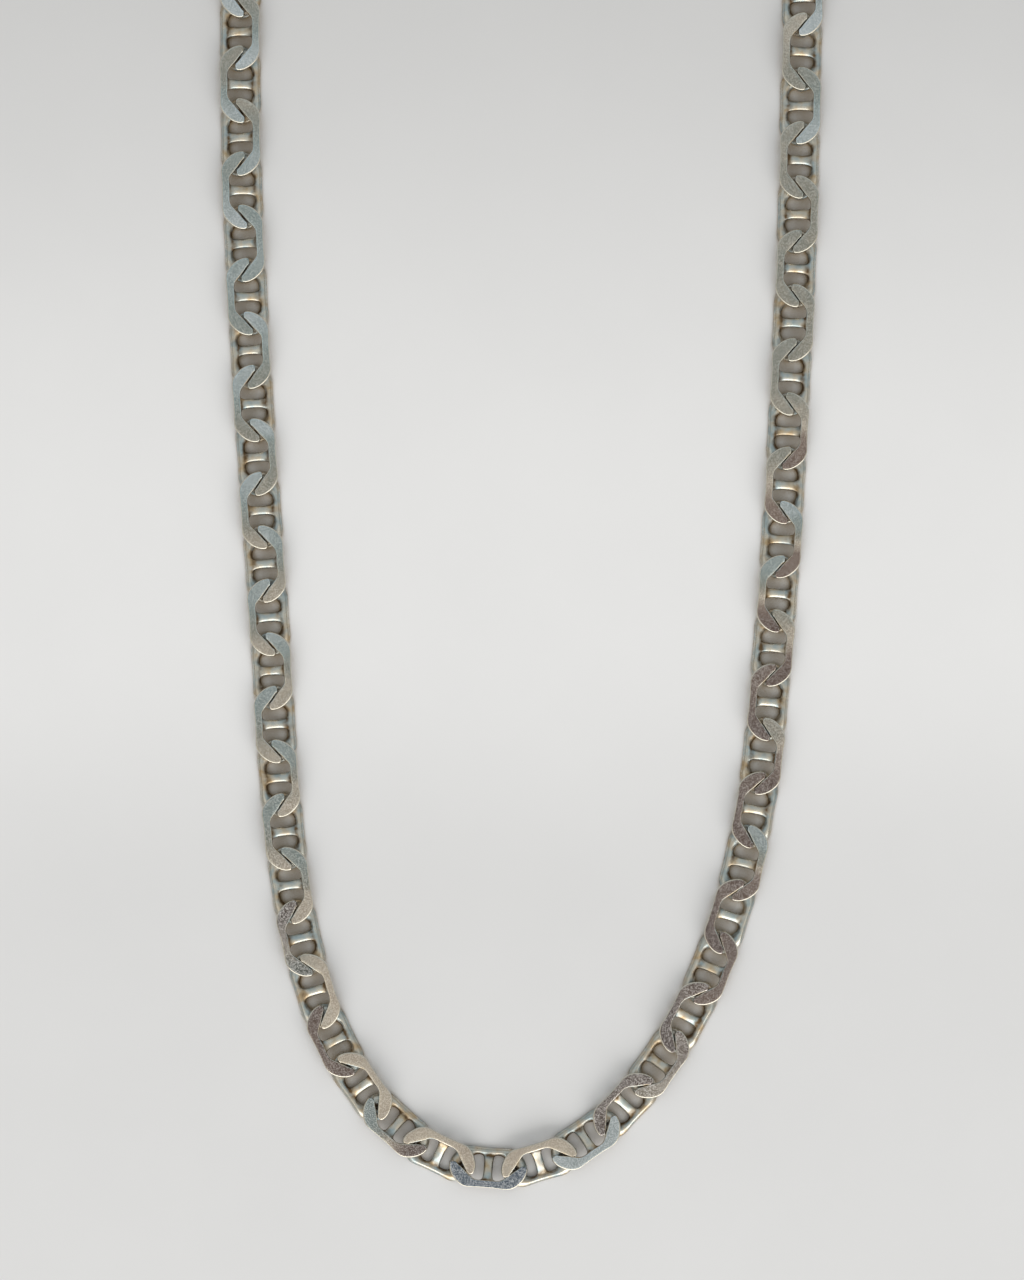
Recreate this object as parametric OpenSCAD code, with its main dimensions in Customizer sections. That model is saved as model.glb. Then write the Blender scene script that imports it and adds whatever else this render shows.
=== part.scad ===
// Necklace of flat mariner links, lying in one closed loop on a table.
// X runs across the loop, Y from its front to its clasp, and Z up from the table.

/* [Link] */
// Length of one link from end to end
link_length = 11.9; // [10.5:0.1:14]
// Width of one link, and so of the chain
link_width = 6; // [5.2:0.1:7.5]
// Thickness of one link between its lower and its upper ground flat
link_thickness = 2.3; // [1.8:0.1:3]
// Width of the wire along the two sides of a link
side_width = 1.2; // [0.9:0.05:1.5]
// Length of wire round each end of a link, measured along the chain
end_width = 1.85; // [1.5:0.05:2.2]
// Width that the ground flat stands back from the widest part of the wire
flat_inset = 0.12; // [0.05:0.01:0.2]
// Height between the raised side and the lowered side of one link
side_drop = 0.3; // [0.2:0.05:0.5]
// Clear space between the ends of two links where they lie along each other
end_gap = 0.2; // [0.15:0.05:0.35]
// Lean of the line along which two ends meet, in degrees from the chain's length
meeting_lean = 40; // [35:1:46]

/* [Crossbar] */
// Width of the bar across the middle of a link
crossbar_width = 1.1; // [0.8:0.05:1.5]

/* [Clasp] */
// Length of the clasp from end to end
clasp_length = 20; // [18:0.5:26]
// Length of the solid body in the middle of the clasp
clasp_body_length = 10; // [8:0.5:11]
// How far the clasp's ends are pushed into the links beside it, both ends together
clasp_play = 0.6; // [0.4:0.1:0.8]
// Radius of the corners of the clasp's body
clasp_corner = 1.5; // [0.5:0.1:2.5]

/* [Hidden] */

// Chosen points of the chain's middle line, anticlockwise from the clasp.
// Each is [x, y, how far the links there are pushed together from where they would pull tight]
ROUTE = [
    [0, 117, 0.2], [-9, 116.5, 0.3], [-20, 111.5, 0.3], [-30.5, 102, 0.3], [-38, 88, 0.3],
    [-41, 72, 0.3], [-42, 37, 0.26], [-40.5, 3, 0.16], [-37.5, -40, 0.16], [-36, -63, 0.12],
    [-33, -84, 0], [-28, -99, 0], [-19.5, -110.5, 0], [-10, -116.2, 0], [-1.5, -117.2, 0.1],
    [6.5, -115, 0], [14, -110, 0], [20, -103.5, 0], [25, -96, 0], [30.5, -83.5, 0], [35, -66, 0.02],
    [38, -40, 0.04], [40.5, -2, 0.06], [42, 37, 0.06], [41.5, 72, 0.04], [38, 88, 0],
    [30.5, 102, 0], [20, 111.5, 0], [9, 116.5, 0]
];
steps_per_stretch = 12;

half_width = link_width / 2;
half_thickness = link_thickness / 2;
half_drop = side_drop / 2;
window_half_width = half_width - side_width;
tight_pitch = link_length - 2 * end_width;
clasp_span = clasp_length - 2 * end_width - clasp_play;
// Distance from the middle line to the end of the line where two links meet
reach_share = 0.9;
meeting_reach = reach_share * window_half_width;
// Share of the clear space between two ends that a bend in the chain may take up
bend_share = 1 / 3;
// Sides of a full circle at the corners of the clasp's body
corner_sides = 32;

// Outline of the raised side towards one end of a link, as two sections of its wire.
// Each is [outer edge along, outer edge across, inner edge across], as shares of half a link's
// length, of its half width and of meeting_reach
SHOULDER = [0.57, 1, 1];
PADDLE = [0.89, 0.62, 0];
// How far the flat's tip passes the middle line, outside and inside, as shares of the half width
TIP = [0.08, 0.12];
// Width of the flat's tip as a share of the wire at the end
tip_share = 0.4;
// Share of the wire's width that is left on its round inner face
round_share = 0.4;

function unit(v) = v / norm(v);
function mix(a, b, t) = a + (b - a) * t;

// Point on the inner edge of an end, where it lies along the next link's end
function meeting_point(length, across) =
    let (joint = length / 2 - end_width)
    [joint - across / tan(meeting_lean) + end_gap / 2 / sin(meeting_lean), across];

// Sections of the raised side from the crossbar's edge to the end, each [outer, inner].
// A longer body than a link's has the same ends.
function side_sections(length, bar) = [
    [[bar / 2, half_width], [bar / 2, window_half_width]],
    for (row = [SHOULDER, PADDLE]) [
        [(length - (1 - row[0]) * link_length) / 2, row[1] * half_width],
        meeting_point(length, row[2] * meeting_reach)
    ]
];

// Six points round the wire at a section of the raised side:
// upper outer, upper inner, middle inner, lower inner, lower outer, middle outer
function wire_loop(section) =
    let (
        outer = section[0],
        inner = section[1],
        inward = unit(inner - outer),
        width = norm(inner - outer),
        under = width * (1 - round_share) / 2,
        middle = (half_thickness + half_drop) / 2
    )
    [
        lift(outer + flat_inset * inward, half_thickness),
        lift(inner - flat_inset * inward, half_thickness),
        lift(inner, middle),
        lift(inner - under * inward, half_drop),
        lift(outer + under * inward, half_drop),
        lift(outer, middle)
    ];
function lift(point, height) = [point[0], point[1], height];

// Six points where the wire passes from the raised to the lowered side at the end of the link
function end_loop(length) =
    let (
        outer_tip = [length / 2 - flat_inset, -TIP[0] * half_width],
        inner_tip = [length / 2 - tip_share * end_width, -TIP[1] * half_width]
    )
    [
        lift(outer_tip, half_thickness),
        lift(inner_tip, half_thickness),
        [meeting_point(length, 0)[0], 0, 0],
        half_turn(lift(inner_tip, half_thickness)),
        half_turn(lift(outer_tip, half_thickness)),
        [length / 2, 0, 0]
    ];

// A point turned half round the link's long axis, and a loop turned so with its points in step
function half_turn(p) = [p[0], -p[1], -p[2]];
function lowered(loop) = [for (k = [4, 3, 2, 1, 0, 5]) half_turn(loop[k])];
function mirrored(loop) = [for (p = loop) [-p[0], p[1], p[2]]];

// All loops once round the link, from the right of the crossbar over the right end
function link_loops(length, bar) =
    let (
        raised = [for (s = side_sections(length, bar)) wire_loop(s)],
        right = [
            for (l = raised) l,
            end_loop(length),
            for (k = [len(raised) - 1:-1:0]) lowered(raised[k])
        ]
    )
    concat(right, [for (k = [len(right) - 1:-1:0]) mirrored(right[k])]);

// Triangles of the skin between loops a and b, without the strips in the list open.
// Each strip is folded along the diagonal that leaves the end of the link convex.
function skin(a, b, right, open = []) = [
    for (k = [0:5])
        if (len(search(k, open)) == 0)
            let (n = (k + 1) % 6, near = 6 * a, far = 6 * b)
            each right
                ? [[near + k, far + k, near + n], [far + k, far + n, near + n]]
                : [[near + k, far + k, far + n], [near + k, far + n, near + n]]
];

// Link with its crossbar, its middle at the origin and its long axis along X.
// Its raised side lies towards +Y.
module link_shape(length, bar) {
    loops = link_loops(length, bar);
    count = len(loops);
    half = count / 2;
    ring = [for (k = [0:count - 2]) if (k != half - 1) each skin(k, k + 1, k < half)];
    // The two sides are open towards each other where the crossbar joins them
    inner_strips = [1, 2];
    sides = concat(skin(half - 1, half, true, inner_strips), skin(count - 1, 0, true, inner_strips));
    // Edges of the crossbar, matched from the raised side to the lowered side
    raised_rim = [for (l = [0, count - 1]) for (k = l == 0 ? [1, 2, 3] : [3, 2, 1]) 6 * l + k];
    lowered_rim = [for (l = [half - 1, half]) for (k = l == half - 1 ? [1, 2, 3] : [3, 2, 1]) 6 * l + k];
    bar_skin = [
        for (k = [0:5])
            let (n = (k + 1) % 6)
            each [
                [raised_rim[k], lowered_rim[n], lowered_rim[k]],
                [raised_rim[k], raised_rim[n], lowered_rim[n]]
            ]
    ];
    polyhedron([for (l = loops) each l], concat(ring, sides, bar_skin));
}

// The route as a smooth closed curve
route_count = len(ROUTE);
function route_xy(i) = let (p = ROUTE[(i + route_count) % route_count]) [p[0], p[1]];
function route_slack(i) = ROUTE[(i + route_count) % route_count][2];
function chord(i) = norm(route_xy(i + 1) - route_xy(i));
function route_slope(i) =
    let (before = chord(i - 1), after = chord(i))
    ((route_xy(i + 1) - route_xy(i)) / after * before + (route_xy(i) - route_xy(i - 1)) / before * after)
    / (before + after);
function route_point(i, t) =
    let (m0 = route_slope(i) * chord(i), m1 = route_slope(i + 1) * chord(i))
    (2 * t ^ 3 - 3 * t ^ 2 + 1) * route_xy(i) + (t ^ 3 - 2 * t ^ 2 + t) * m0
    + (3 * t ^ 2 - 2 * t ^ 3) * route_xy(i + 1) + (t ^ 3 - t ^ 2) * m1;

samples = [
    for (i = [0:route_count - 1], k = [0:steps_per_stretch - 1]) route_point(i, k / steps_per_stretch),
    route_xy(0)
];
chosen_slack = [
    for (i = [0:route_count - 1], k = [0:steps_per_stretch - 1])
        mix(route_slack(i), route_slack(i + 1), k / steps_per_stretch),
    route_slack(0)
];
last = len(samples) - 1;
// Length of the route up to each sample
run = [
    for (i = 0, s = 0; i <= last; s = s + (i < last ? norm(samples[i + 1] - samples[i]) : 0), i = i + 1) s
];
x_by_run = [for (i = [0:last]) [run[i], samples[i][0]]];
y_by_run = [for (i = [0:last]) [run[i], samples[i][1]]];
function at(s) = let (w = (s + run[last]) % run[last]) [lookup(w, x_by_run), lookup(w, y_by_run)];

// Angle between one link and the next where a joint lies at s, and how far the ends have to be
// pushed together there so that they still clear each other
function bend(s) =
    let (before = at(s) - at(s - tight_pitch), after = at(s + tight_pitch) - at(s))
    acos(min(1, before * after / norm(before) / norm(after)));
function pushed(s) =
    max(0, meeting_reach * sin(bend(s)) - bend_share * end_gap) / sin(meeting_lean);

// Distance from link to link at each sample, and the number of links that fit up to it
pitch = [for (i = [0:last]) tight_pitch - chosen_slack[i] - pushed(run[i])];
fitted = [
    for (
        i = 0, n = 0;
        i <= last;
        n = n + (i < last ? (run[i + 1] - run[i]) * 2 / (pitch[i] + pitch[i + 1]) : 0), i = i + 1
    ) n
];
run_by_fit = [for (i = [0:last]) [fitted[i], run[i]]];
fit_by_run = [for (i = [0:last]) [run[i], fitted[i]]];

// The clasp's middle lies at the route's first point, and the chain starts and ends at the clasp.
// An odd number of links lets both of its ends meet the clasp with the same side raised.
fit_start = lookup(clasp_span / 2, fit_by_run);
fit_end = lookup(run[last] - clasp_span / 2, fit_by_run);
link_count = 2 * round((fit_end - fit_start - 1) / 2) + 1;
function joint(k) = at(lookup(mix(fit_start, fit_end, k / link_count), run_by_fit));

// Puts a child between two joints with its long axis along them
module between(from, to) {
    along = to - from;
    middle = (from + to) / 2;
    translate([middle[0], middle[1], half_thickness])
        rotate([0, 0, atan2(along[1], along[0])])
            children();
}

module link_chain() {
    color("silver")
        for (i = [0:link_count - 1])
            between(joint(i), joint(i + 1))
                rotate([0, 0, 180 * (i % 2)])
                    link_shape(link_length, crossbar_width);
}

// Plain clasp in one piece, with an end like a link's at each side of a flat body
module clasp() {
    color("silver")
        between(joint(link_count), joint(0))
            rotate([0, 0, 180]) {
                link_shape(clasp_length, clasp_body_length);
                clasp_body();
            }
}

module clasp_body() {
    corner_x = clasp_body_length / 2 - clasp_corner;
    corner_y = half_width - clasp_corner;
    translate([0, 0, -half_thickness])
        linear_extrude(link_thickness)
            union() {
                square([clasp_body_length, 2 * corner_y], center = true);
                square([2 * corner_x, link_width], center = true);
                for (x = [-corner_x, corner_x], y = [-corner_y, corner_y])
                    translate([x, y]) circle(clasp_corner, $fn = corner_sides);
            }
}

link_chain();
clasp();
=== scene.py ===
"""Silver neck chain of flat mariner links, lying in one closed loop on a pale table.

Each link is a ring of wire that passes from a raised side to a lowered side at its two ends, with a
crossbar from side to side. The raised side is ground flat on top, the lowered side below. One link is
built as a cage, and Geometry Nodes smooth it and set a copy at the place of every link of the frame.
"""
import math

import bmesh
import bpy
import numpy as np
from mathutils import Matrix, Vector


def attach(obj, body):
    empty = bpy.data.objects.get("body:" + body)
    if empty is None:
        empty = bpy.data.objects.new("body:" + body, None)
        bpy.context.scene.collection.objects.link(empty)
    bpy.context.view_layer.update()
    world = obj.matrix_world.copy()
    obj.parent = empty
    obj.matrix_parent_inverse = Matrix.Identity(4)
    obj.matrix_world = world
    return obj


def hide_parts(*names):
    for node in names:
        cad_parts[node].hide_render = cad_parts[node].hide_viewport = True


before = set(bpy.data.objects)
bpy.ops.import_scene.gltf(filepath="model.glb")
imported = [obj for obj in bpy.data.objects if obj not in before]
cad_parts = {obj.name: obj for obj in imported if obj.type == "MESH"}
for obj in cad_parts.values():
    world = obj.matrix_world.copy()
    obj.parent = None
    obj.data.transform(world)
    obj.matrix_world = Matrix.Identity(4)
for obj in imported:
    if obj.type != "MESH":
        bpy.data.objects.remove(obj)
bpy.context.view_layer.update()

MM = 0.001

# The photograph's height in pixels, its scale, and the point of the table at its middle
PHOTO_HEIGHT = 1280
PIXEL = 0.15 * MM
VIEW_MIDDLE = Vector((-1.25, -39, 0)) * MM
# Distance of the camera from the chain, in photo pixels
FOCAL_PIXELS = 4600


# Places and sizes of the links, from the frame

# Corners of a CAD mesh that lie closer than this are one corner
SAME_CORNER = 0.001 * MM


def solids(node):
    """Loose solids of a CAD node, each as an array of its corners in metres."""
    mesh = bmesh.new()
    mesh.from_mesh(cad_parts[node].data)
    bmesh.ops.remove_doubles(mesh, verts=mesh.verts, dist=SAME_CORNER)
    found = []
    seen = set()
    for start in mesh.verts:
        if start in seen:
            continue
        seen.add(start)
        corners = []
        waiting = [start]
        while waiting:
            vert = waiting.pop()
            corners.append(vert.co[:])
            for edge in vert.link_edges:
                other = edge.other_vert(vert)
                if other not in seen:
                    seen.add(other)
                    waiting.append(other)
        found.append(np.array(corners))
    mesh.free()
    return found


def pose_of(corners):
    """Middle of a link, its turn about Z, and its length, width and thickness.

    The link's own X runs along it, and its raised side lies towards its own +Y.
    """
    middle = (corners.min(axis=0) + corners.max(axis=0)) / 2
    middle[:2] = corners[:, :2].mean(axis=0)
    flat = corners[:, :2] - middle[:2]
    along = np.linalg.eigh(flat.T @ flat)[1][:, 1]
    side = np.array([-along[1], along[0]])
    if (flat @ side) @ (corners[:, 2] - middle[2]) < 0:
        along, side = -along, -side
    size = (np.ptp(flat @ along), np.ptp(flat @ side), np.ptp(corners[:, 2]))
    return middle, math.atan2(along[1], along[0]), size


def round_the_loop(pose):
    """Angle of a link round the loop's middle, anticlockwise from the clasp at the back."""
    return (math.atan2(pose[0][1], pose[0][0]) - math.pi / 2) % math.tau


link_poses = sorted((pose_of(s) for s in solids("link_chain")), key=round_the_loop)
clasp_pose = pose_of(solids("clasp")[0])
# Sizes of the solids in metres, to a hundredth of a millimetre
_, link_width, thickness = (round(size, 5) for size in link_poses[0][2])
clasp_length = round(clasp_pose[2][0], 5)
half_width = link_width / 2
half_thickness = thickness / 2

# The photograph shows the links a little beside the solids, which stand closer in the bends to keep
# clear of each other. Both strands lie further back, and the front bulges out.
ALONG_MOVES = [
    # link counted from the clasp, move along the chain in mm
    (0, 0.0), (9, -0.8), (27, -0.8), (30, -0.3), (36, -0.2), (41, 0.7), (57, 0.7), (66, 0.0),
]
# The bulge: its height in mm, and the place of its middle and its reach to each side, in links
BULGE = 1.4
BULGE_MIDDLE = 33.3
BULGE_REACH = 2.8


def settled(poses, clasp):
    """Poses of the links moved as the photograph shows them, each turned with those beside it."""
    numbers, moves = zip(*ALONG_MOVES)
    before = np.array([clasp[0], *(middle for middle, _, _ in poses), clasp[0]])
    after = before.copy()
    for k in range(len(poses)):
        way = before[k + 2] - before[k]
        way = way / np.linalg.norm(way)
        side = np.array([way[1], -way[0], 0])
        after[k + 1] += way * np.interp(k, numbers, moves) * MM
        after[k + 1] += side * BULGE * math.exp(-((k - BULGE_MIDDLE) / BULGE_REACH) ** 2) * MM
    found = []
    for k, (_, turn, size) in enumerate(poses):
        old, new = before[k + 2] - before[k], after[k + 2] - after[k]
        change = math.atan2(new[1], new[0]) - math.atan2(old[1], old[0])
        found.append((after[k + 1], turn + change, size))
    return found


link_poses = settled(link_poses, clasp_pose)


# Shape of one link

# Sections of the raised side, from its middle to its end. The columns are the outer edge and the
# inner edge, each along and across the link in mm, and how far the ground flat's rim stands back
# from each edge. Lengths along are measured from the middle of a link of LINK_LENGTH.
LINK_LENGTH = 11.9
SECTIONS = [
    # outer along, outer across, inner along, inner across, outer rim, inner rim
    (0.00, 2.96, 0.00, 1.82, 0.10, 0.04),
    (0.80, 2.96, 0.80, 1.82, 0.10, 0.04),
    (1.75, 2.98, 1.50, 1.85, 0.10, 0.05),
    (2.75, 3.06, 2.05, 1.73, 0.10, 0.06),
    (3.60, 2.99, 2.52, 1.36, 0.11, 0.08),
    (4.50, 2.50, 3.07, 0.85, 0.12, 0.09),
    (5.30, 1.64, 3.69, 0.35, 0.14, 0.09),
    (5.78, 0.77, 4.28, -0.11, 0.15, 0.09),
]
# The wire just before the end's middle: ten points along, across and up in mm, in step with
# raised_loop. The heights of FROM_FLAT's points are measured from the flat, the others from the
# link's middle plane.
NEAR_END = [
    (5.78, 0.00, 0.00), (4.78, -0.38, 0.00), (4.68, -0.40, -0.12), (4.44, -0.14, 0.40),
    (4.40, 0.10, -0.10), (4.85, 0.35, -0.28), (5.45, 0.45, -0.28), (5.85, 0.32, -0.05),
    (5.95, 0.12, 0.42), (5.93, 0.00, -0.13),
]
FROM_FLAT = (0, 1, 2, 9)
# The flat's tip past the link's middle line in mm: its outer and inner corner, and the walls by them
TIP_OUTER = (5.79, -0.69)
TIP_INNER = (4.88, -0.70)
TIP_OUTER_WALL = (5.94, -0.42, 0.66)
TIP_INNER_WALL = (4.54, -0.37, 0.62)
# Inside of the end at the middle line, in mm
END_INNER = 4.24
# Height of the wire's underside on the raised side, over the link's middle plane, in mm
UNDERSIDE = 0.15
# How far the flats fall away from the middle of the link to its ends, in mm
DOME = 0.14
# How far below the flat the inner wall starts, and how far over the underside it ends, in mm.
# It starts and ends lower in the first sections, where the crossbar joins it.
SHOULDER = 0.12
SHOULDER_AT_BAR = 0.24
CHEEK = 0.36
CHEEK_AT_BAR = 0.16
BAR_SECTIONS = 2
# How far below the flat the outer wall starts, and how far the inner wall swells, in mm
OUTER_SHOULDER = 0.10
SWELL = 0.01
# Where the walls are widest, as a share of the wire's depth
WIDEST = 0.45
# How far the walls' feet and the underside's edges stand in, as shares of the wire's width
FOOT_IN = 0.07
UNDERSIDE_IN = 0.33
# How far the tops of the walls stand back, as shares of how far the flat's rims do
INNER_TOP_BACK = 0.2
OUTER_TOP_BACK = 0.25
ROUND_POINTS = 10
# Points of a raised loop in the order in which they come round a lowered one
TURNED_ORDER = (6, 5, 4, 3, 2, 1, 0, 9, 8, 7)
# The flat's place between two points of a raised loop and of a lowered one, and the inner wall's
FLAT_CELL = 0
LOWERED_FLAT_CELL = 5
INNER_CELLS = (2, 3)
# How sharp the flat's rims stay when the link is smoothed
RIM_CREASE = 0.9
# Tarnish at the ten points of a raised loop: least on the flat, most on the inner wall
TARNISH = [0.1, 0.3, 0.9, 1.0, 0.9, 0.55, 0.40, 0.45, 0.65, 0.30]
# The crossbar: its half width and half height, how far its axis runs to each side of the link's
# middle line and rises there, all in mm, the shares of its way at which it has a loop, and its tarnish
BAR_HALF_WIDTH = 0.76
BAR_HALF_HEIGHT = 0.46
BAR_REACH = 1.8
BAR_RISE = 0.40
BAR_SHARES = (0.22, 0.5, 0.78)
BAR_SIDES = 8
BAR_TARNISH = 0.42


def raised_loop(row, stretch, at_bar):
    """Ten points round the wire at one section of the raised side, in mm.

    They start at the flat's outer rim and its inner rim, and run down the inner wall, under the
    wire and up the outer wall. stretch is added to the lengths along.
    """
    outer = Vector((row[0] + stretch, row[1]))
    inner = Vector((row[2] + stretch, row[3]))
    outer_rim, inner_rim = row[4:]
    inward = (inner - outer).normalized()
    wide = (inner - outer).length
    top = half_thickness / MM - DOME * (row[0] * 2 / LINK_LENGTH) ** 2
    deep = top - UNDERSIDE
    shoulder = SHOULDER_AT_BAR if at_bar else SHOULDER
    cheek = CHEEK_AT_BAR if at_bar else CHEEK
    profile = [
        (outer_rim, top),
        (wide - inner_rim, top),
        (wide - INNER_TOP_BACK * inner_rim, top - shoulder),
        (wide + SWELL, top - WIDEST * deep),
        (wide - FOOT_IN * wide, UNDERSIDE + cheek),
        (wide - UNDERSIDE_IN * wide, UNDERSIDE),
        (UNDERSIDE_IN * wide, UNDERSIDE),
        (FOOT_IN * wide, UNDERSIDE + CHEEK),
        (0.0, top - WIDEST * deep),
        (OUTER_TOP_BACK * outer_rim, top - OUTER_SHOULDER),
    ]
    return [Vector((*(outer + inward * run), height)) for run, height in profile]


def half_turned(point):
    """The point turned half round the link's long axis."""
    return Vector((point.x, -point.y, -point.z))


def lowered_loop(loop):
    """A raised loop turned half round the long axis, with its points in step."""
    return [half_turned(loop[k]) for k in TURNED_ORDER]


def near_end_loop(stretch):
    """Ten points just before the end's middle, where the wire starts to turn over."""
    flat = half_thickness / MM - DOME
    return [
        Vector((x + stretch, y, z + (flat if k in FROM_FLAT else 0)))
        for k, (x, y, z) in enumerate(NEAR_END)
    ]


def end_loop(stretch):
    """Ten points where the wire passes from the raised to the lowered side."""
    flat = half_thickness / MM - DOME
    tip_outer = Vector((TIP_OUTER[0] + stretch, TIP_OUTER[1], flat))
    tip_inner = Vector((TIP_INNER[0] + stretch, TIP_INNER[1], flat))
    inner_wall = Vector((TIP_INNER_WALL[0] + stretch, *TIP_INNER_WALL[1:]))
    outer_wall = Vector((TIP_OUTER_WALL[0] + stretch, *TIP_OUTER_WALL[1:]))
    inner = Vector((END_INNER + stretch, 0, 0))
    outer = Vector((LINK_LENGTH / 2 + stretch, 0, 0))
    return [
        tip_outer, tip_inner, inner_wall, inner, half_turned(inner_wall), half_turned(tip_inner),
        half_turned(tip_outer), half_turned(outer_wall), outer, outer_wall,
    ]


def ring_loops(stretch):
    """All loops once round the link, from the middle of its raised side over its right end."""
    raised = [raised_loop(row, stretch, k < BAR_SECTIONS) for k, row in enumerate(SECTIONS)]
    raised[0] = [Vector((0, point.y, point.z)) for point in raised[0]]
    raised.append(near_end_loop(stretch))
    right = raised + [end_loop(stretch)] + [lowered_loop(loop) for loop in reversed(raised)]
    left = [[Vector((-p.x, p.y, p.z)) for p in loop] for loop in reversed(right[1:-1])]
    return right + left


def link_cage(name, stretch=0.0, with_bar=True):
    """Cage of one link in metres, with its crossbar, its creases and its attributes."""
    loops = ring_loops(stretch)
    count = len(loops)
    half = count // 2
    end = len(SECTIONS) + 1
    raised_stretch = {r % count for r in range(-end, end)}
    # Cells of the inner wall that the crossbar opens, on both sides of the middle of each side
    opened = {(r % count, k) for r in (-1, 0, half - 1, half) for k in INNER_CELLS if with_bar}
    mesh = bmesh.new()
    crease = mesh.edges.layers.float.new("crease_edge")
    tarnish = mesh.verts.layers.float.new("tarnish")
    ground = mesh.faces.layers.int.new("ground")
    rings = [[mesh.verts.new(point * MM) for point in loop] for loop in loops]
    for r, ring in enumerate(rings):
        lowered = end < r < count - end
        for k, vert in enumerate(ring):
            vert[tarnish] = TARNISH[TURNED_ORDER[k] if lowered else k]
    for r, near in enumerate(rings):
        far = rings[(r + 1) % count]
        flat_cell = FLAT_CELL if r in raised_stretch else LOWERED_FLAT_CELL
        for k in range(ROUND_POINTS):
            if (r, k) in opened:
                continue
            n = (k + 1) % ROUND_POINTS
            face = mesh.faces.new((near[k], near[n], far[n], far[k]))
            face[ground] = int(k == flat_cell)
    for face in mesh.faces:
        if face[ground]:
            for edge in face.edges:
                if sum(beside[ground] for beside in edge.link_faces) == 1:
                    edge[crease] = RIM_CREASE
    if with_bar:
        add_crossbar(mesh, rings, tarnish)
    bmesh.ops.recalc_face_normals(mesh, faces=mesh.faces)
    data = bpy.data.meshes.new(name)
    mesh.to_mesh(data)
    mesh.free()
    return bpy.data.objects.new(name, data)


def opening_rim(rings, first, middle, last):
    """Eight corners of the opening in the inner wall that one end of the crossbar closes."""
    points = slice(INNER_CELLS[0], INNER_CELLS[-1] + 2)
    upper, centre, lower = rings[first][points], rings[middle][points], rings[last][points]
    return [*upper, centre[-1], *reversed(lower), centre[0]]


def bridge(mesh, near, far):
    """Faces between two loops with as many corners."""
    for k, corner in enumerate(near):
        n = (k + 1) % len(near)
        mesh.faces.new((corner, near[n], far[n], far[k]))


def add_crossbar(mesh, rings, tarnish):
    """Closes the openings of both sides with one rounded bar between them."""
    half = len(rings) // 2
    before = opening_rim(rings, 1, 0, -1)
    for share in BAR_SHARES:
        lean = 1 - 2 * share
        after = []
        for k in range(BAR_SIDES):
            turn = math.tau * (k + 1) / BAR_SIDES
            vert = mesh.verts.new((
                math.sin(turn) * BAR_HALF_WIDTH * MM,
                lean * BAR_REACH * MM,
                (lean * BAR_RISE + math.cos(turn) * BAR_HALF_HEIGHT) * MM,
            ))
            vert[tarnish] = BAR_TARNISH
            after.append(vert)
        bridge(mesh, before, after)
        before = after
    bridge(mesh, before, opening_rim(rings, half - 1, half, half + 1))


# Materials

SMOOTH = "SMOOTHSTEP"


def linear(code):
    """Linear colour of an sRGB hex code."""
    values = [int(code[k:k + 2], 16) / 255 for k in (1, 3, 5)]
    return [*(v / 12.92 if v <= 0.04045 else ((v + 0.055) / 1.055) ** 2.4 for v in values), 1.0]


def node(tree, kind, settings=None, **inputs):
    """Adds a node with its settings, and sets or links its inputs by name or, as _0, by number."""
    made = tree.nodes.new(kind)
    for key, value in (settings or {}).items():
        setattr(made, key, value)
    for key, value in inputs.items():
        socket = made.inputs[int(key[1:])] if key[1:].isdigit() else made.inputs[key.replace("_", " ")]
        if isinstance(value, bpy.types.NodeSocket):
            tree.links.new(value, socket)
        else:
            socket.default_value = value
    return made


def attribute(tree, name, output):
    """Output of a node that reads a named attribute of the mesh."""
    return node(tree, "ShaderNodeAttribute", {"attribute_name": name}).outputs[output]


def maths(tree, operation, *values):
    """Result of an operation on up to three numbers."""
    inputs = {f"_{k}": value for k, value in enumerate(values)}
    return node(tree, "ShaderNodeMath", {"operation": operation}, **inputs).outputs[0]


def mapped(tree, value, start, end, low, high, curve="LINEAR"):
    """A number carried over from the range of start to end to that of low to high."""
    return node(tree, "ShaderNodeMapRange", {"interpolation_type": curve},
                _0=value, _1=start, _2=end, _3=low, _4=high).outputs[0]


def between(tree, share, first, second):
    """The number at a share of the way from the first to the second."""
    return node(tree, "ShaderNodeMix", {"data_type": "FLOAT"},
                _0=share, _2=first, _3=second).outputs[0]


def mixed(tree, share, first, second):
    """Mix of two colours by the second's share. Each is a colour code or an output."""
    first, second = (linear(c) if isinstance(c, str) else c for c in (first, second))
    return node(tree, "ShaderNodeMix", {"data_type": "RGBA"},
                _0=share, _6=first, _7=second).outputs[2]


def colour_ramp(tree, value, stops):
    """Colour output of a ramp with the given stops, each a place and a colour code."""
    made = node(tree, "ShaderNodeValToRGB", Fac=value)
    elements = made.color_ramp.elements
    while len(elements) < len(stops):
        elements.new(0.5)
    for element, (place, _) in zip(elements, stops):
        element.position = place
    for element, (_, code) in zip(elements, stops):
        element.color = linear(code)
    return made.outputs["Color"]


def noise(tree, place, size, detail, roughness=0.5, seed=None):
    """Noise with features of a size in mm. A seed is an output that gives each link its own."""
    shift = {} if seed is None else {"W": seed}
    return node(tree, "ShaderNodeTexNoise", {"noise_dimensions": "4D" if shift else "3D"},
                Vector=place, Scale=1 / (size * MM), Detail=detail, Roughness=roughness,
                **shift).outputs["Fac"]


def relief(tree, height, strength, depth, **over):
    """Normal of a relief that is so many mm deep, over another one's Normal if that is given."""
    return node(tree, "ShaderNodeBump", Strength=strength, Distance=depth * MM, Height=height,
                **over).outputs["Normal"]


def new_material(name):
    """An empty material with its node tree and its output."""
    material = bpy.data.materials.new(name)
    material.use_nodes = True
    tree = material.node_tree
    tree.nodes.clear()
    return material, tree, tree.nodes.new("ShaderNodeOutputMaterial")


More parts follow.
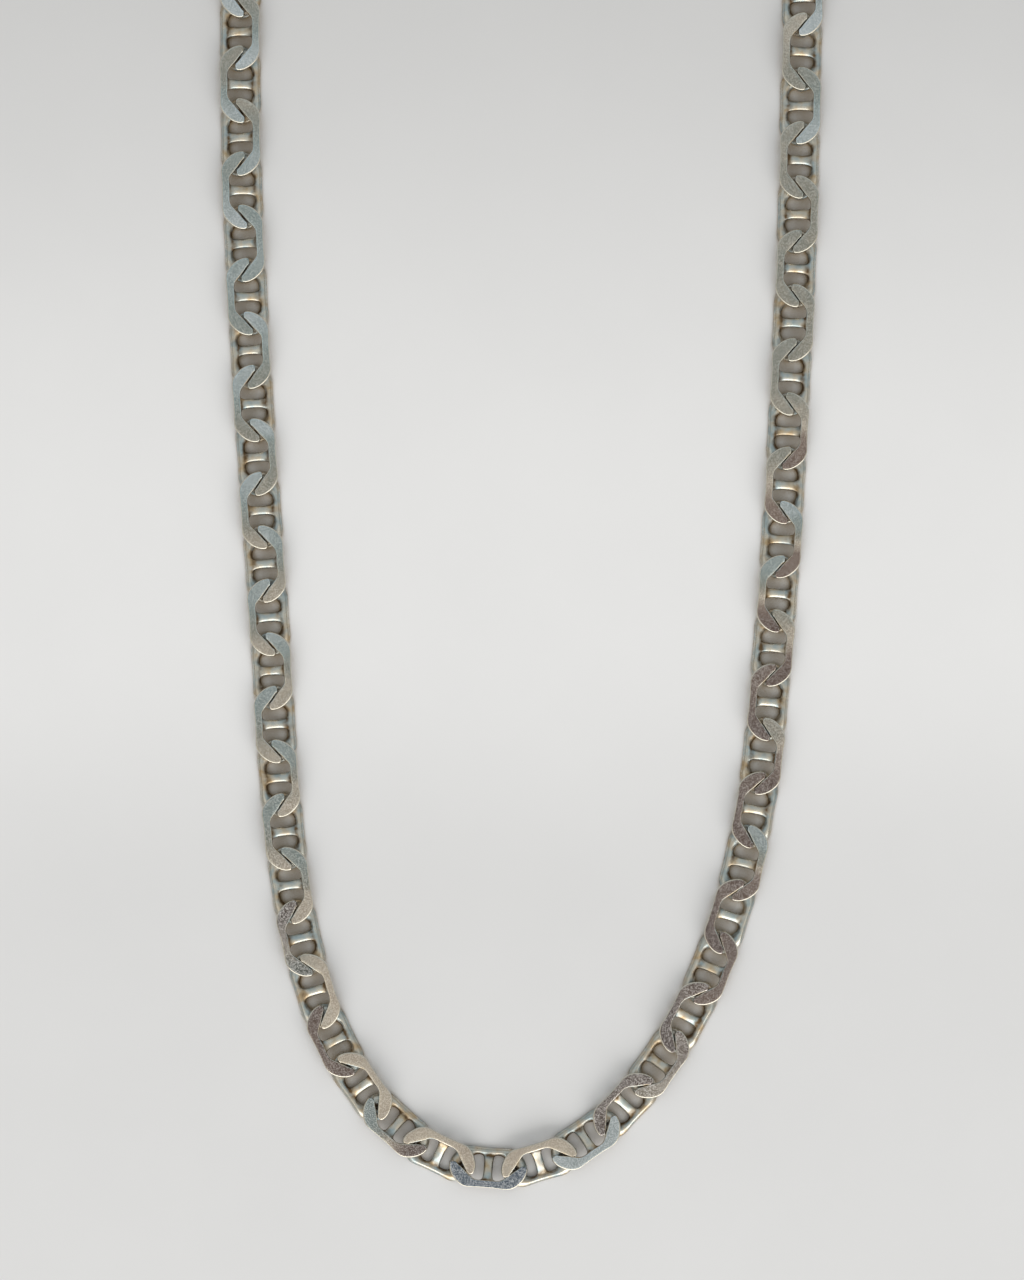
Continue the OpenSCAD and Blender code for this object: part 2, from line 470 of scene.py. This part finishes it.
def silver_surface(tree, out, colour, roughness, normal):
    """Gives a material the surface of solid silver."""
    shader = node(tree, "ShaderNodeBsdfPrincipled", Metallic=1.0, Base_Color=colour,
                  Roughness=roughness, Normal=normal)
    tree.links.new(shader.outputs[0], out.inputs["Surface"])


# Tints of the flats, partly a tarnish film and partly painted reflection of the room's cool and warm
# light: steel blue, light blue, blue grey, grey green, beige, brown, dark brown
FILM_AND_REFLECTION_COLOURS = [
    (0.00, "#8298ae"), (0.06, "#dfecf3"), (0.25, "#a8b8b7"), (0.45, "#a8a99e"), (0.60, "#ded3c1"),
    (0.80, "#9c897d"), (1.00, "#72605a"),
]
# Sizes of the patterns on the ground flats in mm. Real grit and scratches are a few hundredths of a
# millimetre, under the photograph's pixel of 0.15 mm, so both are drawn as coarse as it needs to show.
BLOTCH_SIZE = 2.5
GRIT_SIZE = 0.14
SCRATCH_SIZE = 0.12
# Angle of the scratches to the link in radians, and their thickness as a share of their length
SCRATCH_TURN = 0.9
SCRATCH_SHARE = 0.05
# Depths of the grit and scratches and of the blotches, in mm, and the scratches' share of the first
GRIT_DEPTH = 0.012
BLOTCH_DEPTH = 0.02
SCRATCHES_IN_RELIEF = 0.45
# Roughness in the pits of the grit and on the points between them
PIT_ROUGHNESS = 0.26
POINT_ROUGHNESS = 0.16
# The tint changes from end to end between these places along the link, in mm, and the blotches
# move each point of it up to this much further along
TINT_START = -3.0
TINT_END = 6.0
TINT_WANDER = 4.0
# How far apart the tints of the blotches lie, and the share of the grit's own colour where it is full
TINT_SPREAD = 0.24
GRIT_SHARE = 0.85
# How far apart the patterns of two links can lie
SEED_SPREAD = 7.0


def ground_silver():
    """Sterling silver, ground flat. Satin under a thin film of tarnish and painted reflections, finely
    scratched and pitted.
    """
    material, tree, out = new_material("sterling silver, ground flat")
    own = attribute(tree, "own_place", "Vector")
    seed = maths(tree, "MULTIPLY", attribute(tree, "link_tone", "Fac"), SEED_SPREAD)
    blotches = noise(tree, own, BLOTCH_SIZE, detail=3.0, roughness=0.6, seed=seed)
    grit = noise(tree, own, GRIT_SIZE, detail=2.0, roughness=0.6, seed=seed)

    # Tint from the link's one end to its other, broken up by the blotches: the tarnish film's colour and
    # painted reflection of the cool or warm light that each flat caught at its tilt
    parts = node(tree, "ShaderNodeSeparateXYZ", _0=own)
    wander = maths(tree, "MULTIPLY_ADD", blotches, TINT_WANDER * MM, parts.outputs["X"])
    along = mapped(tree, wander, TINT_START * MM, TINT_END * MM, 0.0, 1.0, SMOOTH)
    tint = between(tree, along, attribute(tree, "tint_left", "Fac"), attribute(tree, "tint_right", "Fac"))
    uneven = maths(tree, "MULTIPLY_ADD", blotches, TINT_SPREAD, -TINT_SPREAD / 2)
    film = colour_ramp(tree, maths(tree, "ADD", tint, uneven), FILM_AND_REFLECTION_COLOURS)

    # Grit: dark pits that hold tarnish, and bright points between them
    specks = colour_ramp(tree, grit, [(0.43, "#303132"), (0.50, "#7d7e7f"), (0.57, "#f2f3f4")])
    dirt = maths(tree, "MULTIPLY", attribute(tree, "grit", "Fac"), GRIT_SHARE)
    colour = mixed(tree, dirt, film, specks)

    # Fine scratches across the flat, grit and shallow blotches
    turned = node(tree, "ShaderNodeMapping", Vector=own, Rotation=(0, 0, SCRATCH_TURN),
                  Scale=(SCRATCH_SHARE, 1.0, 1.0))
    scratches = noise(tree, turned.outputs[0], SCRATCH_SIZE, detail=2.0, seed=seed)
    height = between(tree, SCRATCHES_IN_RELIEF, grit, scratches)
    fine = relief(tree, height, strength=0.35, depth=GRIT_DEPTH)
    normal = relief(tree, blotches, strength=0.5, depth=BLOTCH_DEPTH, Normal=fine)
    rough = mapped(tree, grit, 0.3, 0.7, PIT_ROUGHNESS, POINT_ROUGHNESS)
    silver_surface(tree, out, colour, rough, normal)
    return material


# Sizes of the patterns on the drawn wire in mm. The real drawing lines are finer than a pixel, and are
# drawn as coarse as it needs to show.
PATCH_SIZE = 1.2
WARMTH_SIZE = 2.0
LINE_SIZE = 0.10
DENT_SIZE = 0.5
# Thickness of the lines as a share of their length, and the depths of lines and dents in mm
LINE_SHARE = 0.06
LINE_DEPTH = 0.01
DENT_DEPTH = 0.03
# Roughness where the wire is clean and where it is fully tarnished
CLEAN_ROUGHNESS = 0.22
TARNISHED_ROUGHNESS = 0.50


def drawn_silver():
    """Sterling silver wire, drawn and polished. Bright on its round outside, brown inside."""
    material, tree, out = new_material("sterling silver, drawn wire")
    place = node(tree, "ShaderNodeTexCoord").outputs["Object"]
    patches = noise(tree, place, PATCH_SIZE, detail=3.0, roughness=0.6)
    amount = maths(tree, "MULTIPLY", attribute(tree, "tarnish", "Fac"), patches)
    spread = mapped(tree, amount, 0.10, 0.5, 0.0, 1.0)

    # Polished silver is cool here and warm there, before the brown of the deep places
    warmth = noise(tree, place, WARMTH_SIZE, detail=2.0)
    tone = colour_ramp(tree, warmth, [(0.38, "#a3b1b4"), (0.52, "#b9b7ae"), (0.66, "#b9a688")])
    clean = mixed(tree, mapped(tree, spread, 0.0, 0.4, 0.0, 1.0), "#cdc9bd", tone)
    colour = mixed(tree, mapped(tree, spread, 0.4, 1.0, 0.0, 1.0), clean, "#64523c")

    # Fine lines that the drawing left along the wire, and shallow dents
    along = node(tree, "ShaderNodeMapping", Vector=attribute(tree, "own_place", "Vector"),
                 Scale=(LINE_SHARE, 1.0, 1.0))
    lines = noise(tree, along.outputs[0], LINE_SIZE, detail=2.0)
    dents = noise(tree, place, DENT_SIZE, detail=2.0)
    fine = relief(tree, lines, strength=0.3, depth=LINE_DEPTH)
    normal = relief(tree, dents, strength=0.3, depth=DENT_DEPTH, Normal=fine)
    rough = mapped(tree, spread, 0.0, 1.0, CLEAN_ROUGHNESS, TARNISHED_ROUGHNESS)
    silver_surface(tree, out, colour, rough, normal)
    return material


# Size of the board's mottling, and how near the links have to be to close it in, both in mm
MOTTLE_SIZE = 30
SHUT_IN_REACH = 3
# Share of the board's brightness that is left at the back and at the front
BACK_SHADE = 0.77
FRONT_SHADE = 0.88
# Share of the painted brown shade between the links that is left at the front
FRONT_PAINTED_SHADE_SHARE = 0.2
BOARD_ROUGHNESS = 0.75


def table_top():
    """Matt painted board. Pale and nearly even, with the faint mottling of its coat, and painted shade.
    """
    material, tree, out = new_material("matt painted board")
    place = node(tree, "ShaderNodeTexCoord").outputs["Object"]
    mottle = noise(tree, place, MOTTLE_SIZE, detail=4.0, roughness=0.6)
    paint = mixed(tree, mottle, "#e3e4e7", "#e9eaed")

    # Duller towards the back and the front, where less of the room's light falls on it
    depth = node(tree, "ShaderNodeSeparateXYZ", _0=place).outputs["Y"]
    back = mapped(tree, depth, -20 * MM, 80 * MM, 1.0, BACK_SHADE, SMOOTH)
    front = mapped(tree, depth, -80 * MM, -38 * MM, FRONT_SHADE, 1.0, SMOOTH)
    shaded = node(tree, "ShaderNodeVectorMath", {"operation": "SCALE"}, _0=paint,
                  Scale=maths(tree, "MULTIPLY", back, front))

    # Painted shade: brown and darker where the links close it in, for their shadow and the light that
    # their tarnished walls throw back, and less so at the front, where the window's light reaches into
    # the links
    shut_in = node(tree, "ShaderNodeAmbientOcclusion", {"samples": 6}, Distance=SHUT_IN_REACH * MM)
    inside = mapped(tree, shut_in.outputs["AO"], 0.40, 0.66, 1.0, 0.0, SMOOTH)
    unlit = mapped(tree, depth, -122 * MM, -100 * MM, FRONT_PAINTED_SHADE_SHARE, 1.0, SMOOTH)
    colour = mixed(tree, maths(tree, "MULTIPLY", inside, unlit), shaded.outputs[0], "#927e5c")
    shader = node(tree, "ShaderNodeBsdfPrincipled", Base_Color=colour,
                  Roughness=BOARD_ROUGHNESS)
    tree.links.new(shader.outputs[0], out.inputs["Surface"])
    return material


# The links, set along the loop by Geometry Nodes

def named(tree, name, kind):
    """Output of a node that reads a named attribute of the geometry."""
    made = node(tree, "GeometryNodeInputNamedAttribute", {"data_type": kind}, Name=name)
    return made.outputs["Attribute"]


def random(tree, seed, step, **limits):
    """A random number for every point, from 0 to 1 unless limits are given."""
    made = node(tree, "FunctionNodeRandomValue", {"data_type": "FLOAT"},
                Seed=maths(tree, "ADD", seed, step), **limits)
    return made.outputs[1]


def chain_tree(flat_finish, wire_finish):
    """Node tree that smooths a link and sets a copy of it at every point."""
    tree = bpy.data.node_groups.new("links along the chain", "GeometryNodeTree")
    sockets = {}
    for name, kind in (
        ("Places", "NodeSocketGeometry"), ("Link", "NodeSocketObject"), ("Smoothing", "NodeSocketInt"),
        ("Tilt", "NodeSocketFloat"), ("Seed", "NodeSocketInt"),
        ("Flat finish", "NodeSocketMaterial"), ("Wire finish", "NodeSocketMaterial"),
    ):
        sockets[name] = tree.interface.new_socket(name, in_out="INPUT", socket_type=kind).identifier
    tree.interface.new_socket("Chain", in_out="OUTPUT", socket_type="NodeSocketGeometry")
    given = tree.nodes.new("NodeGroupInput").outputs
    link = node(tree, "GeometryNodeObjectInfo", {"transform_space": "ORIGINAL"}, Object=given["Link"])
    smooth = node(tree, "GeometryNodeSubdivisionSurface", Mesh=link.outputs["Geometry"],
                  Level=given["Smoothing"], Edge_Crease=named(tree, "crease_edge", "FLOAT"))
    shaded = node(tree, "GeometryNodeSetShadeSmooth", _0=smooth.outputs[0])
    placed = node(tree, "GeometryNodeStoreNamedAttribute",
                  {"data_type": "FLOAT_VECTOR", "domain": "POINT"},
                  Geometry=shaded.outputs[0], Name="own_place",
                  Value=node(tree, "GeometryNodeInputPosition").outputs[0])
    back = maths(tree, "MULTIPLY", given["Tilt"], -1.0)
    angles = node(tree, "ShaderNodeCombineXYZ",
                  X=random(tree, given["Seed"], 0, _2=back, _3=given["Tilt"]),
                  Y=random(tree, given["Seed"], 1, _2=back, _3=given["Tilt"]),
                  Z=named(tree, "turn", "FLOAT"))
    rotation = node(tree, "FunctionNodeEulerToRotation", Euler=angles.outputs[0])
    copies = node(tree, "GeometryNodeInstanceOnPoints", Points=given["Places"],
                  Instance=placed.outputs[0], Rotation=rotation.outputs[0])
    toned = node(tree, "GeometryNodeStoreNamedAttribute", {"data_type": "FLOAT", "domain": "INSTANCE"},
                 Geometry=copies.outputs[0], Name="link_tone", Value=random(tree, given["Seed"], 2))
    real = node(tree, "GeometryNodeRealizeInstances", Geometry=toned.outputs[0])
    wire = node(tree, "GeometryNodeSetMaterial", Geometry=real.outputs[0], Material=given["Wire finish"])
    flat = node(tree, "GeometryNodeSetMaterial", Geometry=wire.outputs[0],
                Selection=named(tree, "ground", "BOOLEAN"), Material=given["Flat finish"])
    out = tree.nodes.new("NodeGroupOutput")
    tree.links.new(flat.outputs[0], out.inputs[0])
    return tree, sockets


def plain_mesh(obj, name):
    """The evaluated object as a new plain mesh object, in place of the one that made it."""
    graph = bpy.context.evaluated_depsgraph_get()
    data = bpy.data.meshes.new_from_object(obj.evaluated_get(graph))
    bpy.data.objects.remove(obj)
    data.name = name
    made = bpy.data.objects.new(name, data)
    bpy.context.scene.collection.objects.link(made)
    return made


# Tint and grit of the ground flats, judged from the photograph, for links counted from the clasp.
# The links between two rows lie between them. The tints are places on FILM_AND_REFLECTION_COLOURS.
# The tints are partly the tarnish film and partly painted reflection of the light each flat caught
TINTS = [
    # link, tint at its end towards the link before it, tint at its other end, grit
    (9, 0.45, 0.10, 0.3), (12, 0.48, 0.18, 0.3), (13, 0.30, 0.12, 0.3), (15, 0.20, 0.32, 0.3),
    (17, 0.15, 0.45, 0.3), (19, 0.16, 0.53, 0.3), (25, 0.25, 0.57, 0.4), (26, 0.30, 0.60, 0.4),
    (27, 0.85, 0.38, 0.8), (28, 0.55, 0.60, 0.3), (29, 0.90, 0.90, 0.4), (30, 0.60, 0.60, 0.3),
    (31, 0.22, 0.95, 0.5), (32, 0.60, 0.62, 0.3), (33, -0.04, -0.04, 0.7), (34, 0.62, 0.60, 0.3),
    (35, 0.12, 0.12, 0.4), (36, 0.92, 0.85, 0.7), (37, 0.60, 0.78, 0.7), (38, 1.10, 0.85, 0.6),
    (39, 0.88, 0.90, 0.4), (40, 1.00, 0.90, 0.4), (41, 0.88, 0.18, 0.4), (42, 0.95, 0.90, 0.4),
    (43, 0.95, 0.48, 0.4), (44, 0.96, 0.85, 0.4), (45, 0.95, 0.48, 0.3), (46, 0.95, 0.24, 0.3),
    (47, 0.85, 0.16, 0.3), (48, 0.84, 0.48, 0.3), (49, 0.85, 0.46, 0.3), (50, 0.48, 0.44, 0.3),
    (54, 0.44, 0.48, 0.3), (55, 0.14, 0.40, 0.3), (56, 0.45, 0.52, 0.3), (57, 0.10, 0.45, 0.3),
    (58, 0.45, 0.45, 0.3),
]


def finish_of(number, turn, way):
    """Tints at a link's own left and right end, and its grit."""
    numbers, before, after, grit = zip(*TINTS)
    ends = [np.interp(number, numbers, before), np.interp(number, numbers, after)]
    if math.cos(turn) * way[0] + math.sin(turn) * way[1] < 0:
        ends.reverse()
    return (*ends, np.interp(number, numbers, grit))


def links_at(name, poses, finishes, cage, tree, sockets, inputs):
    """One stretch of the chain as a plain mesh."""
    data = bpy.data.meshes.new(name)
    data.from_pydata([tuple(middle) for middle, _, _ in poses], [], [])
    columns = {"turn": [angle for _, angle, _ in poses]}
    columns["tint_left"], columns["tint_right"], columns["grit"] = zip(*finishes)
    for key, values in columns.items():
        data.attributes.new(key, "FLOAT", "POINT").data.foreach_set("value", values)
    places = bpy.data.objects.new(name, data)
    bpy.context.scene.collection.objects.link(places)
    modifier = places.modifiers.new("links", "NODES")
    modifier.node_group = tree
    modifier[sockets["Link"]] = cage
    for key, value in inputs.items():
        modifier[sockets[key]] = value
    return plain_mesh(places, name)


# The chain's stretches, each one piece, so that none is too heavy
STRETCHES = 5
SMOOTHING = 2
# How far a link may lean out of true, and the seeds of the stretches and of the clasp's ring
LEAN = math.radians(0.6)
SEED_STEP = 10
CLASP_SEED = 50

flat_finish = ground_silver()
wire_finish = drawn_silver()
tree, sockets = chain_tree(flat_finish, wire_finish)
link = link_cage("link")
per_stretch = math.ceil(len(link_poses) / STRETCHES)
ring_of_places = [clasp_pose[0], *(middle for middle, _, _ in link_poses), clasp_pose[0]]
finishes = [
    finish_of(k, turn, ring_of_places[k + 2] - ring_of_places[k])
    for k, (_, turn, _) in enumerate(link_poses)
]
for number in range(STRETCHES):
    own = slice(number * per_stretch, (number + 1) * per_stretch)
    inputs = {
        "Smoothing": SMOOTHING, "Tilt": LEAN, "Seed": SEED_STEP * number,
        "Flat finish": flat_finish, "Wire finish": wire_finish,
    }
    piece = links_at(f"links_{number + 1}", link_poses[own], finishes[own], link, tree, sockets, inputs)
    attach(piece, "root")
    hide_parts("link_chain")


# The clasp: a ring like a link's, without a crossbar, joined to a flat body

# Body of the clasp in mm: its length, the radius of its corners, and how far its rims are eased
BODY_LENGTH = 10.0
BODY_CORNER = 1.5
BODY_EASE = 0.3
CORNER_STEPS = 8
EASE_STEPS = 4
# A face of the body is ground flat where its normal rises more than this
FLAT_NORMAL = 0.99
CLASP_TINT = 0.3
RING_GRIT = 0.2
BODY_FINISH = {"tint_left": CLASP_TINT, "tint_right": CLASP_TINT, "grit": 0.3, "tarnish": 0.6}


def clasp_body(pose):
    """Flat body with round corners and eased rims, at the clasp's place."""
    mesh = bmesh.new()
    corners = []
    for turn, sign in enumerate(((1, 1), (-1, 1), (-1, -1), (1, -1))):
        middle = Vector((BODY_LENGTH / 2 - BODY_CORNER, half_width / MM - BODY_CORNER)) * Vector(sign)
        for step in range(CORNER_STEPS + 1):
            angle = (turn + step / CORNER_STEPS) * math.pi / 2
            way = Vector((math.cos(angle), math.sin(angle)))
            corners.append(mesh.verts.new((*((middle + way * BODY_CORNER) * MM), -half_thickness)))
    lower = mesh.faces.new(corners)
    upper = bmesh.ops.extrude_face_region(mesh, geom=[lower])["geom"]
    risen = [item for item in upper if isinstance(item, bmesh.types.BMVert)]
    bmesh.ops.translate(mesh, verts=risen, vec=(0, 0, 2 * half_thickness))
    rims = [edge for edge in mesh.edges if abs(edge.verts[0].co.z - edge.verts[1].co.z) < SAME_CORNER]
    bmesh.ops.bevel(
        mesh, geom=rims, offset=BODY_EASE * MM, segments=EASE_STEPS, profile=0.5, affect="EDGES",
    )
    bmesh.ops.recalc_face_normals(mesh, faces=mesh.faces)
    data = bpy.data.meshes.new("clasp body")
    mesh.to_mesh(data)
    mesh.free()
    own_place = [value for vert in data.vertices for value in vert.co]
    data.attributes.new("own_place", "FLOAT_VECTOR", "POINT").data.foreach_set("vector", own_place)
    for key, value in BODY_FINISH.items():
        data.attributes.new(key, "FLOAT", "POINT").data.foreach_set("value", [value] * len(data.vertices))
    middle, turn, _ = pose
    data.transform(Matrix.Translation(middle) @ Matrix.Rotation(turn, 4, "Z"))
    data.materials.append(wire_finish)
    data.materials.append(flat_finish)
    for face in data.polygons:
        face.use_smooth = abs(face.normal.z) < FLAT_NORMAL
        face.material_index = int(abs(face.normal.z) > FLAT_NORMAL)
    body = bpy.data.objects.new("clasp body", data)
    bpy.context.scene.collection.objects.link(body)
    return body


long_ring = link_cage("clasp ring", (clasp_length / MM - LINK_LENGTH) / 2, with_bar=False)
ring_finish = (CLASP_TINT, CLASP_TINT, RING_GRIT)
ring = links_at("clasp ring", [clasp_pose], [ring_finish], long_ring, tree, sockets, {
    "Smoothing": SMOOTHING, "Tilt": 0.0, "Seed": CLASP_SEED,
    "Flat finish": flat_finish, "Wire finish": wire_finish,
})
body = clasp_body(clasp_pose)
joined = ring.modifiers.new("body", "BOOLEAN")
joined.operation = "UNION"
joined.solver = "EXACT"
joined.material_mode = "TRANSFER"
joined.object = body
clasp = plain_mesh(ring, "clasp_piece")
bpy.data.objects.remove(body)
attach(clasp, "root")
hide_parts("clasp")


# Table, light and camera

TABLE_SIZE = 3.0
bpy.ops.mesh.primitive_plane_add(size=TABLE_SIZE, location=(0, 0, 0))
table = bpy.context.object
table.name = "table"
table.data.materials.append(table_top())


def area_light(name, place, aim, size, watts, colour):
    """A soft box at a place, aimed at a point, all in metres."""
    lamp = bpy.data.lights.new(name, "AREA")
    lamp.shape = "RECTANGLE"
    lamp.size, lamp.size_y = size
    lamp.energy = watts
    lamp.color = linear(colour)[:3]
    made = bpy.data.objects.new(name, lamp)
    made.location = place
    made.rotation_euler = (Vector(aim) - Vector(place)).to_track_quat("-Z", "Y").to_euler()
    bpy.context.scene.collection.objects.link(made)


area_light(
    "window", place=(0.15, -1.15, 0.66), aim=(0, 0.03, 0), size=(2.40, 1.00), watts=18.0,
    colour="#fffdfa",
)


def room_light():
    """Room round the table: dull straight overhead, bright all round that, and duller walls."""
    world = bpy.data.worlds.new("room")
    world.use_nodes = True
    bpy.context.scene.world = world
    tree = world.node_tree
    tree.nodes.clear()
    way = node(tree, "ShaderNodeTexCoord").outputs["Generated"]
    parts = node(tree, "ShaderNodeSeparateXYZ", _0=way)
    # The ceiling is warm at the front and cool at the back
    back = mapped(tree, parts.outputs["Y"], -0.12, 0.12, 0.0, 1.0, SMOOTH)
    ceiling = mixed(tree, back, "#f3efe6", "#d0d6d8")
    from_top = node(tree, "ShaderNodeVectorMath", {"operation": "DISTANCE"}, _0=way, _1=(0, 0, 1))
    overhead = mapped(tree, from_top.outputs["Value"], 0.14, 0.40, 1.0, 0.0, SMOOTH)
    ceiling = mixed(tree, overhead, ceiling, "#ccc9c4")
    walls = mapped(tree, parts.outputs["Z"], 0.40, 0.75, 1.0, 0.0, SMOOTH)
    room = mixed(tree, walls, ceiling, "#b0aca4")
    glow = node(tree, "ShaderNodeBackground", Color=room, Strength=1.0)
    out = tree.nodes.new("ShaderNodeOutputWorld")
    tree.links.new(glow.outputs[0], out.inputs["Surface"])


room_light()

camera = bpy.data.objects.new("camera", bpy.data.cameras.new("camera"))
camera.data.sensor_fit = "VERTICAL"
camera.data.lens = camera.data.sensor_height * FOCAL_PIXELS / PHOTO_HEIGHT
camera.location = VIEW_MIDDLE + Vector((0, 0, thickness + FOCAL_PIXELS * PIXEL))
camera.data.clip_start = 0.01
bpy.context.scene.collection.objects.link(camera)
bpy.context.scene.camera = camera
bpy.context.scene.view_settings.view_transform = "Standard"
